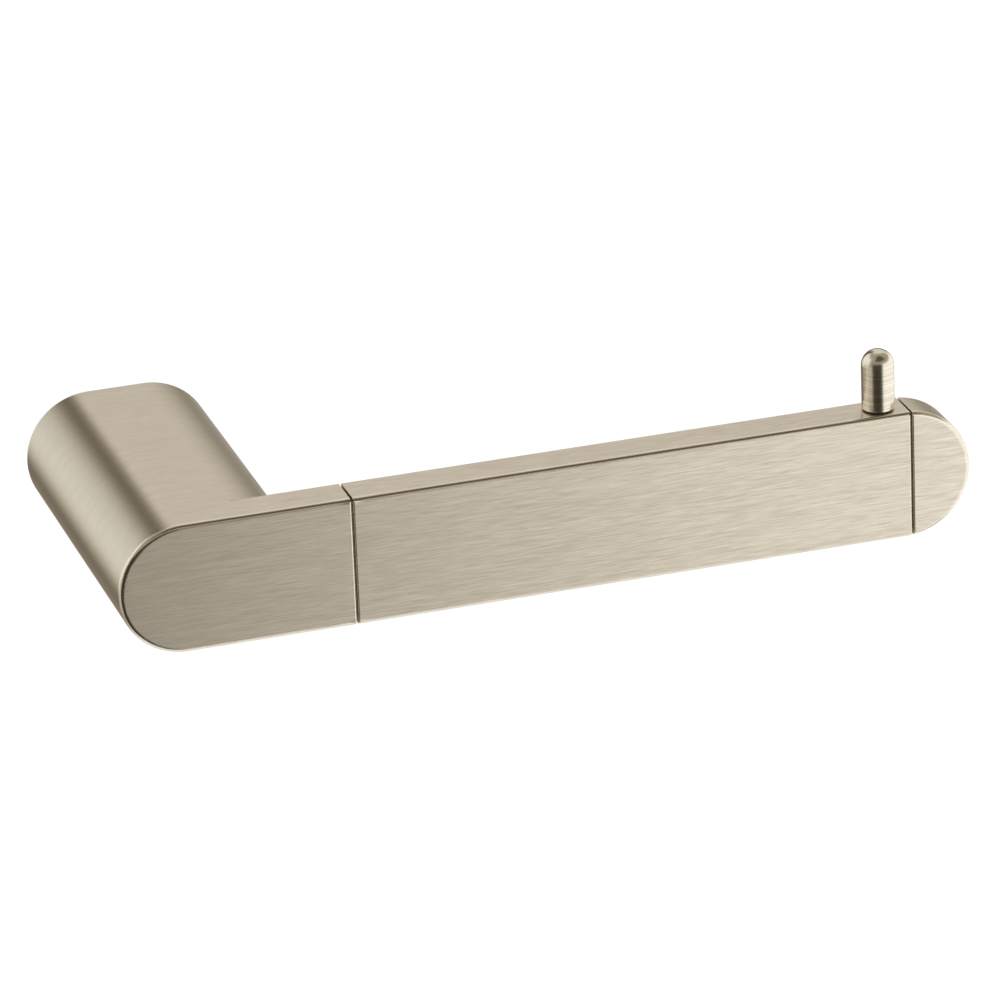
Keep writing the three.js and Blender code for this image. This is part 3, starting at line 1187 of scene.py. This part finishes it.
@dataclass
class SetScrew:
    """A headless screw with a hexagon socket below and a cup point above."""

    finishes: Finishes
    pitch: float = 0.7
    root: float = 1.62
    across_flats: float = 2.0
    socket_depth: float = 2.0
    cup: float = 0.8

    def build(self, node: str, body: str) -> bpy.types.Object:
        """Make one set screw.

        Args:
            node: the CAD node that it stands for.
            body: the body that it moves with.

        Returns:
            The finished piece.
        """
        low, high = node_corners(node)
        radius, length = (high.x - low.x) / 2, high.z - low.z
        bm = threaded(radius, self.root, self.pitch, 0, length)
        taper(bm, 0, -0.4, radius - 0.35, radius)
        taper(bm, length, 0.6, radius - 0.6, radius)
        place(bm, "+Z", ((low.x + high.x) / 2, (low.y + high.y) / 2, low.z))
        piece = mesh_object(f"{node}_visual", bm)
        middle = ((low.x + high.x) / 2, (low.y + high.y) / 2)
        socket = bmesh.new()
        corner = self.across_flats / math.sqrt(3) * MM
        bmesh.ops.create_cone(socket, cap_ends=True, segments=6, radius1=corner, radius2=corner,
                              depth=2 * self.socket_depth * MM)
        bmesh.ops.translate(socket, verts=socket.verts[:], vec=scaled((*middle, low.z)))
        lead = bore(self.across_flats / 2 - 0.12, "+Z", (*middle, low.z), self.socket_depth + 0.3, 0.2)
        cup = turned([(0, -self.cup), (self.cup, 0), (self.cup + 0.2, 0.2), (0, 0.2)], steps=32)
        place(cup, "+Z", (*middle, high.z))
        cut(piece, [socket, lead, cup])
        return finish_piece(piece, body, node, [self.finishes.oxide])


@dataclass
class RollStop:
    """The upright pin that keeps the roll on the arm, and the thin washer under it."""

    finishes: Finishes
    foot_chamfer: float = 0.15
    stud_radius: float = 1.75
    stud_root: float = 1.4
    stud_pitch: float = 0.6
    shank: float = 1.2
    dome_steps: int = 28

    def pin(self) -> bpy.types.Object:
        """A turned pin with a domed top and a threaded stud below.

        Returns:
            The finished piece.
        """
        low, high = node_corners("roll_stop_pin")
        _, washer_high = node_corners("pin_washer")
        foot = washer_high.z + 0.05
        radius = (high.x - low.x) / 2
        shoulder = high.z - radius
        edge = self.foot_chamfer
        dome = arc_points((0, shoulder), radius, 0, 90, self.dome_steps)
        neck = foot - self.shank
        body = turned([(0, neck), (self.stud_root, neck), (self.stud_radius, neck + 0.4), (self.stud_radius, foot),
                       (radius - edge, foot), (radius - edge / 4, foot + edge / 4), (radius, foot + edge),
                       *dome[:-1], (0, high.z)])
        stud = threaded(self.stud_radius, self.stud_root, self.stud_pitch, low.z, neck)
        taper(stud, low.z, -0.5, self.stud_root - 0.1, self.stud_radius)
        middle = middle_of("roll_stop_pin")
        bm = gathered(body, stud)
        bmesh.ops.translate(bm, verts=bm.verts[:], vec=scaled((middle.x, middle.y, 0)))
        piece = mesh_object("roll_stop_pin_visual", bm)
        dome_from = shoulder + radius * 0.25
        return finish_piece(piece, BODY_HOLDER, "roll_stop_pin",
                            [TurnedNickel().build(dome_from, radius * 0.3)])

    def washer(self) -> bpy.types.Object:
        """A thin nylon washer with softened edges.

        Returns:
            The finished piece.
        """
        low, high = node_corners("pin_washer")
        rim, thick, soft = (high.x - low.x) / 2, high.z - low.z, 0.08
        hole = self.stud_radius + HOLE_CLEARANCE
        bm = turned([(hole, soft), (hole + soft, 0), (rim - soft, 0), (rim, soft), (rim, thick - soft),
                     (rim - soft, thick), (hole + soft, thick), (hole, thick - soft), (hole, soft)])
        middle = middle_of("pin_washer")
        place(bm, "+Z", (middle.x, middle.y, low.z))
        piece = mesh_object("pin_washer_visual", bm)
        return finish_piece(piece, BODY_HOLDER, "pin_washer", [self.finishes.black_nylon])

    def build(self) -> None:
        """Make the pin and its washer."""
        self.pin()
        self.washer()


# ---------------------------------------------------------------- what stays on the wall


@dataclass
class WallSide:
    """The cast bracket, its two screws with their anchors, and the screw that clamps the post."""

    finishes: Finishes
    plate: float = 3.5
    boss_width: float = 7.6
    boss_height: float = 10.6
    boss_lead_in: float = 1.0
    boss_fillet: float = 0.6
    screw_hole: float = 2.3
    slot_travel: float = 1.4
    head_height: float = 2.4
    screw_radius: float = 1.9
    screw_neck: float = 1.6
    screw_pitch: float = 1.6
    screw_root: float = 1.25
    screw_tip: float = 3.0
    anchor_bore: float = 2.2
    anchor_tip: float = 3.5
    rib_pitch: float = 1.5
    rib_depth: float = 0.35

    def bracket(self) -> bpy.types.Object:
        """A flat plate with round sides and a block in the middle that the post clamps on.

        Returns:
            The finished piece.
        """
        low, high = node_corners("wall_bracket")
        radius, centre = high.z, high.x - high.z
        bm = bmesh.new()
        for side, turn in ((-1, -math.pi), (1, math.pi)):
            top = bm.verts.new(scaled((side * centre, 0, radius)))
            bmesh.ops.spin(bm, geom=[top], cent=scaled((side * centre, 0, 0)), axis=(0, 1, 0), angle=turn, steps=48)
        for level in (radius, -radius):
            polyline(bm, [(-centre, 0, level), (centre, 0, level)])
        bmesh.ops.remove_doubles(bm, verts=bm.verts[:], dist=1e-6)
        bmesh.ops.contextual_create(bm, geom=bm.edges[:])
        extrude(bm, bm.faces[:], (0, -self.plate, 0))
        bmesh.ops.recalc_face_normals(bm, faces=bm.faces[:])
        mark_edges(bm, lambda a, b: 0.5 if near(a.y, b.y) and near(a.y, -self.plate) else 0.0, 0.5)
        piece = mesh_object("wall_bracket_visual", bm)
        round_marked(piece, 0.5, 4)
        width, height = self.boss_width / 2, self.boss_height / 2
        boss = block((-width, low.y, -height), (width, -self.plate / 2, height))
        mark_edges(boss, lambda a, b: 1.0 if near(a.y, low.y) and near(b.y, low.y) else
                   0.0 if near(a.y, b.y) else 0.3, self.boss_lead_in)
        solid = mesh_object("boss", boss)
        round_marked(solid, self.boss_lead_in, 5)
        rounded = bmesh.new()
        rounded.from_mesh(solid.data)
        bpy.data.objects.remove(solid)
        cut(piece, [rounded], join=True)
        self.fillet_root(piece)
        slot = self.screw_hole
        left, right = middle_of("wall_screw_left").x, middle_of("wall_screw_right").x
        travel = self.slot_travel / 2
        holes = [bore(slot, "+Y", (left, -self.plate, 0), self.plate + 1, 0.3)]
        holes += [bore(slot, "+Y", (right, -self.plate, z), self.plate + 1, 0.3) for z in (-travel, travel)]
        holes.append(block((right - slot, -self.plate - 1, -travel), (right + slot, 1, travel)))
        cut(piece, holes)
        return finish_piece(piece, BODY_WALL, "wall_bracket", [self.finishes.cast])

    def fillet_root(self, piece: bpy.types.Object) -> None:
        """Fill the corner between the plate and its block with a small cast fillet.

        Args:
            piece: the bracket.
        """
        bm = bmesh.new()
        bm.from_mesh(piece.data)
        root = [e for e in bm.edges if len(e.link_faces) == 2 and not e.is_convex
                and e.calc_face_angle(0) > SHARP_ANGLE]
        bmesh.ops.bevel(bm, geom=root, offset=self.boss_fillet * MM, offset_type="OFFSET", segments=4, profile=0.5,
                        affect="EDGES", material=-1)
        bm.to_mesh(piece.data)
        bm.free()

    def screw(self, node: str) -> bpy.types.Object:
        """A pan-head screw with a cross recess and a coarse thread that runs to a point.

        Args:
            node: the CAD node that it stands for.

        Returns:
            The finished piece.
        """
        low, high = node_corners(node)
        radius, head, neck = self.screw_radius, (high.x - low.x) / 2, self.screw_neck
        length = high.y - low.y - self.head_height
        thread = threaded(radius, self.screw_root, self.screw_pitch, neck, length)
        taper(thread, length, self.screw_tip, 0.12, radius)
        tall = self.head_height
        body = turned([(0, -tall), (head * 0.3, -tall * 0.99), (head * 0.55, -tall * 0.95),
                       (head * 0.74, -tall * 0.85), (head * 0.88, -tall * 0.7), (head * 0.96, -tall * 0.53),
                       (head, -tall * 0.35), (head, -0.15), (head - 0.15, 0), (radius, 0), (radius, 1.0),
                       (self.screw_root, neck), (0, neck)], steps=64)
        bm = gathered(body, thread)
        middle = middle_of(node)
        place(bm, "+Y", (middle.x, low.y + tall, 0))
        piece = mesh_object(f"{node}_visual", bm)
        wings = []
        for size in ((2.0, 0.45), (0.45, 2.0)):
            wing = block((-size[0], -size[1], -tall - 1), (size[0], size[1], -tall + 1.5))
            taper(wing, -tall + 1.5, 2.5, 0.5, 3.0)
            place(wing, "+Y", (middle.x, low.y + tall, 0))
            wings.append(wing)
        cut(piece, wings)
        return finish_piece(piece, BODY_WALL, node, [self.finishes.plated])

    def anchor(self, node: str) -> bpy.types.Object:
        """A ribbed nylon plug, split along its middle so that the screw spreads it.

        Args:
            node: the CAD node that it stands for.

        Returns:
            The finished piece.
        """
        low, high = node_corners(node)
        radius, length, hole = high.z, high.y - low.y, self.anchor_bore
        shoulder = length - self.anchor_tip
        ribs = []
        at = 1.2
        while at + self.rib_pitch < shoulder:
            ribs += [(radius - self.rib_depth, at), (radius, at + self.rib_pitch * 0.75),
                     (radius, at + self.rib_pitch * 0.9)]
            at += self.rib_pitch
        bottom = length - 0.7
        bm = turned([(0, bottom), (hole * 0.3, bottom), (hole, shoulder), (hole, 0.2), (hole + 0.15, 0),
                     (radius - 0.1, 0), (radius, 0.15), (radius, 1.0), *ribs, (radius - 0.1, shoulder),
                     (radius * 0.62, length - 0.2), (radius * 0.5, length), (0, length)], steps=64)
        place(bm, "+Y", (middle_of(node).x, low.y, 0))
        piece = mesh_object(f"{node}_visual", bm)
        x = middle_of(node).x
        cut(piece, [block((x - 0.35, low.y + 5, -radius - 1), (x + 0.35, low.y + length - 1.6, radius + 1))])
        return finish_piece(piece, BODY_WALL, node, [self.finishes.grey_nylon])

    def build(self) -> None:
        """Make the bracket and what holds it and the post."""
        self.bracket()
        for side in ("left", "right"):
            self.screw(f"wall_screw_{side}")
            self.anchor(f"wall_anchor_{side}")
        SetScrew(self.finishes).build("clamp_screw", BODY_CLAMP)


# ---------------------------------------------------------------- the studio


@dataclass(frozen=True)
class Panel:
    """A soft-edged panel or flag of the light tent, far off round the holder.

    The azimuth is turned from straight in front of the holder towards +X; all angles are degrees.
    """

    name: str
    azimuth: float
    elevation: float
    half_width: float
    half_height: float
    softness: float
    brightness: float


@dataclass
class Studio:
    """A pale floor, a tent of soft light and the camera."""

    floor_level: float = -1500.0
    floor_width: float = 6000.0
    tent: float = 0.4
    shade: str = "#ffebcd"
    backdrop: float = 1.05
    panels: tuple[Panel, ...] = ()
    target: tuple[float, float, float] = (68.25, -47.6, -4.18)
    distance: float = 1413.3
    turn: float = 16.53
    height: float = 22.953
    roll: float = -2.302
    lens: float = 247.97

    def camera(self) -> bpy.types.Object:
        """A long lens from the front, a little to the left and above.

        Returns:
            The camera.
        """
        data = bpy.data.cameras.new("camera")
        data.lens = self.lens
        data.sensor_width = 36.0
        data.clip_start, data.clip_end = 0.05, 50.0
        camera = bpy.data.objects.new("camera", data)
        bpy.context.scene.collection.objects.link(camera)
        a, e, r = (math.radians(v) for v in (self.turn, self.height, self.roll))
        back = Vector((-math.sin(a) * math.cos(e), -math.cos(a) * math.cos(e), math.sin(e)))
        right = Vector((math.cos(a), -math.sin(a), 0))
        up = back.cross(right)
        across = math.cos(r) * right + math.sin(r) * up
        upward = -math.sin(r) * right + math.cos(r) * up
        turn = Matrix((across, upward, back)).transposed()
        camera.matrix_world = Matrix.Translation(scaled(self.target) + back * self.distance * MM) @ turn.to_4x4()
        bpy.context.scene.camera = camera
        return camera

    def floor(self) -> bpy.types.Object:
        """A wide pale floor, lit through from below like a light table.

        Returns:
            The floor.
        """
        bm = bmesh.new()
        bmesh.ops.create_grid(bm, x_segments=1, y_segments=1, size=self.floor_width / 2 * MM)
        bmesh.ops.translate(bm, verts=bm.verts[:], vec=scaled((0, 0, self.floor_level)))
        floor = mesh_object("floor", bm)
        material = bpy.data.materials.new("pale_floor")
        material.use_nodes = True
        shader = material.node_tree.nodes["Principled BSDF"]
        shader.inputs["Base Color"].default_value = hex_colour("#f2f1ee")
        shader.inputs["Roughness"].default_value = 0.8
        shader.inputs["Emission Color"].default_value = hex_colour("#ffffff")
        shader.inputs["Emission Strength"].default_value = 0.8
        floor.data.materials.append(material)
        floor.visible_glossy = False  # a shiny piece sees the tent and not the floor
        return floor

    def light(self) -> None:
        """A tent of even light with brighter panels and darker flags."""
        world = bpy.data.worlds.new("light_tent")
        bpy.context.scene.world = world
        world.use_nodes = True
        tree = world.node_tree
        tree.nodes.clear()
        way = add_node(tree, "ShaderNodeSeparateXYZ",
                       {"Vector": add_node(tree, "ShaderNodeTexCoord").outputs["Generated"]}).outputs
        toward = add_node(tree, "ShaderNodeMath", {0: way["Y"], 1: -1.0}, operation="MULTIPLY").outputs[0]
        azimuth = add_node(tree, "ShaderNodeMath", {0: way["X"], 1: toward}, operation="ARCTAN2").outputs[0]
        elevation = add_node(tree, "ShaderNodeMath", {0: way["Z"]}, operation="ARCSINE").outputs[0]
        tent = None
        for panel in self.panels:
            mask = self.mask(tree, azimuth, elevation, panel)
            under = self.tent if tent is None else tent
            tent = add_node(tree, "ShaderNodeMix", {"Factor": mask, "A": under, "B": panel.brightness},
                            data_type="FLOAT").outputs[0]
        seen = add_node(tree, "ShaderNodeLightPath").outputs["Is Camera Ray"]
        around = self.tent if tent is None else tent
        strength = add_node(tree, "ShaderNodeMix", {"Factor": seen, "A": around, "B": self.backdrop},
                            data_type="FLOAT").outputs[0]
        shade = add_node(tree, "ShaderNodeMapRange", {"Value": strength}).outputs[0]
        tint = add_node(tree, "ShaderNodeMix", {"Factor": shade, "A": hex_colour(self.shade), "B": (1, 1, 1, 1)},
                        data_type="RGBA").outputs["Result"]
        sky = add_node(tree, "ShaderNodeBackground", {"Color": tint, "Strength": strength})
        add_node(tree, "ShaderNodeOutputWorld", {"Surface": sky.outputs[0]})

    def mask(
        self,
        tree: bpy.types.NodeTree,
        azimuth: bpy.types.NodeSocket,
        elevation: bpy.types.NodeSocket,
        panel: Panel,
    ) -> bpy.types.NodeSocket:
        """How much of a panel is seen in each direction, from 0 outside it to 1 inside.

        Args:
            tree: the world's node tree.
            azimuth: the direction's azimuth in radians.
            elevation: its elevation in radians.
            panel: the panel.

        Returns:
            The socket that gives the share.
        """
        shares = []
        for angle, middle, half in (
            (azimuth, panel.azimuth, panel.half_width),
            (elevation, panel.elevation, panel.half_height),
        ):
            offset = add_node(tree, "ShaderNodeMath", {0: angle, 1: math.radians(middle)}, operation="SUBTRACT")
            wrapped = add_node(tree, "ShaderNodeMath", {0: offset.outputs[0], 1: math.pi, 2: -math.pi},
                               operation="WRAP")
            size = add_node(tree, "ShaderNodeMath", {0: wrapped.outputs[0]}, operation="ABSOLUTE").outputs[0]
            edges = {"Value": size, "From Min": math.radians(half + panel.softness / 2),
                     "From Max": math.radians(half - panel.softness / 2)}
            shares.append(add_node(tree, "ShaderNodeMapRange", edges, interpolation_type="SMOOTHSTEP").outputs[0])
        return add_node(tree, "ShaderNodeMath", {0: shares[0], 1: shares[1]}, operation="MULTIPLY").outputs[0]

    def build(self) -> None:
        """Set up the floor, the light and the camera."""
        bpy.context.scene.view_settings.view_transform = "Standard"
        self.floor()
        self.light()
        self.camera()


def tent_panels() -> tuple[Panel, ...]:
    """The cards and flags round the holder, each placed where one part of it reflects."""
    return (
        Panel("rear_card", 160, 45, 40, 30, 20, 0.8),  # the top faces
        Panel("rear_low_flag", 180, -10, 40, 20, 20, 0.1),  # the post's far shoulder
        Panel("left_card", -120, 15, 40, 30, 20, 1.0),  # the post's near side
        Panel("stripe_flag", 190, 25, 10, 25, 10, 0.1),  # the dark stripe beside the post's top
        Panel("left_low_card", -80, -20, 20, 20, 10, 0.6),  # the rim round the post's front
        Panel("right_card", 75, -15, 60, 35, 15, 1.2),  # the front face and the free end
        Panel("front_up_flag", 10, 60, 50, 20, 10, 0.1),  # the top front edge
        Panel("floor_card", 90, -75, 180, 20, 20, 1.0),  # the bottom front edge
        Panel("camera_flag", -20, -20, 35, 40, 10, 0.05),  # the lines beside the rim and down the pin
    )


def main() -> None:
    """Build the holder and its studio."""
    logging.basicConfig(level=logging.INFO, format="%(message)s")
    finishes = Finishes()
    Arm(finishes).build()
    ArmFasteners(finishes).build()
    RollStop(finishes).build()
    WallSide(finishes).build()
    Studio(panels=tent_panels()).build()


if __name__ == "__main__":
    main()
